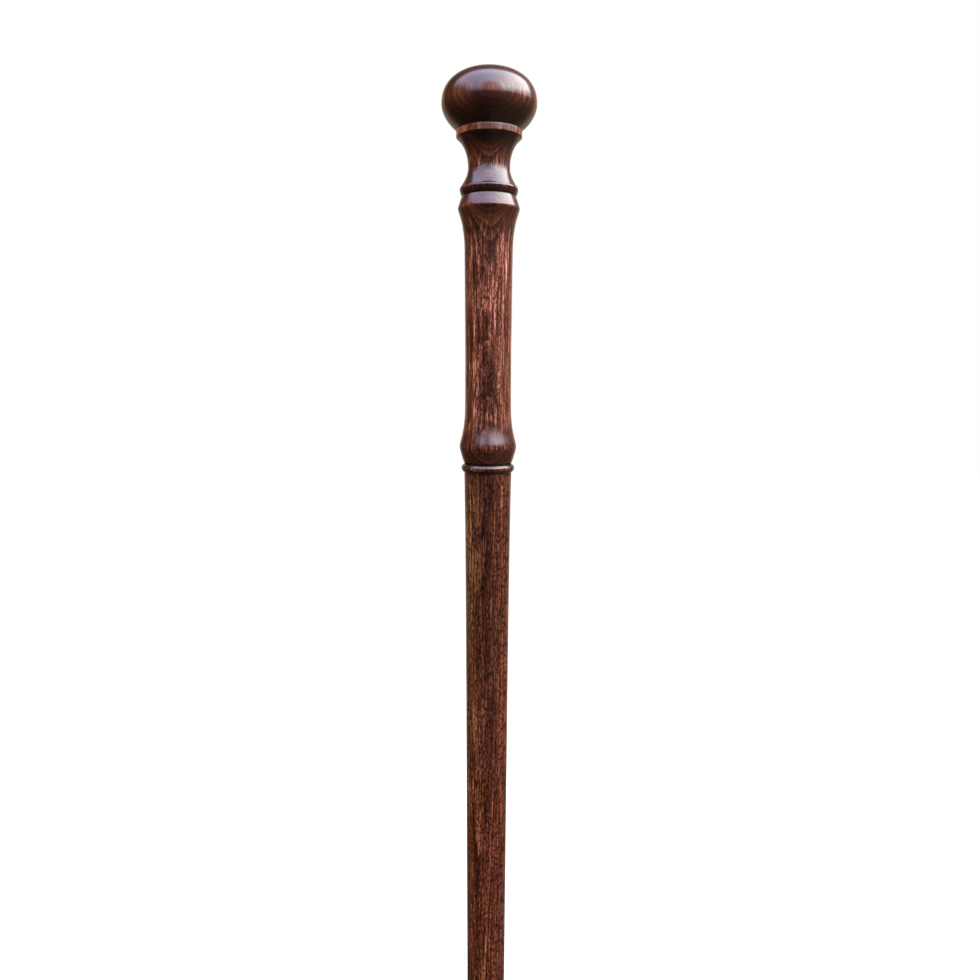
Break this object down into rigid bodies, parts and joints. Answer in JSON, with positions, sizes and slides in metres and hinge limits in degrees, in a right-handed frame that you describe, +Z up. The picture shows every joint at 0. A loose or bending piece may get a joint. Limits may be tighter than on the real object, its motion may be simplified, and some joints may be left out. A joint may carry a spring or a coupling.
{
  "type": "knob walking cane",
  "caption": "Turned wooden walking cane with a round knob handle screwed to a tapered shaft, standing on a ribbed rubber ferrule.",
  "frame": {"origin": "middle of the ferrule's tread, on the ground under the cane's axis", "axes": "+Z up along the cane's axis, from the tread to the knob; the cane is round about it, and -Y faces the picture's camera"},
  "size_m": [0.048, 0.048, 0.92],
  "materials": {
    "handle_wood": "dark red-brown stain under a semi-gloss varnish",
    "shaft_wood": "darker brown stain under a satin varnish",
    "brass": "turned brass",
    "steel": "zinc-plated steel",
    "washer_rubber": "matte black",
    "ferrule_rubber": "matte black"
  },
  "bodies": {
    "ferrule": {"ferrule": "ferrule_rubber", "ferrule_washer": "steel"},
    "shaft": {"shaft": "shaft_wood", "joint_screw": "steel"},
    "washer": {"joint_washer": "washer_rubber"},
    "handle": {"handle": "handle_wood", "handle_insert": "brass"}
  },
  "joints": [
    {"name": "ferrule_pull", "type": "slide", "parent": "ferrule", "child": "shaft", "axis": [0, 0, 1], "range_m": [0, 0.032]},
    {"name": "handle_lift", "type": "slide", "parent": "shaft", "child": "washer", "axis": [0, 0, 1], "range_m": [0, 0.01501]},
    {"name": "handle_unscrew", "type": "hinge", "parent": "washer", "child": "handle", "pos_m": [0, 0, 0.7233], "axis": [0, 0, 1], "range_deg": [0, 4320]}
  ],
  "couplings": [
    {"joint": "handle_lift", "follows": "handle_unscrew", "m_per_rad": 0.00019894}
  ]
}
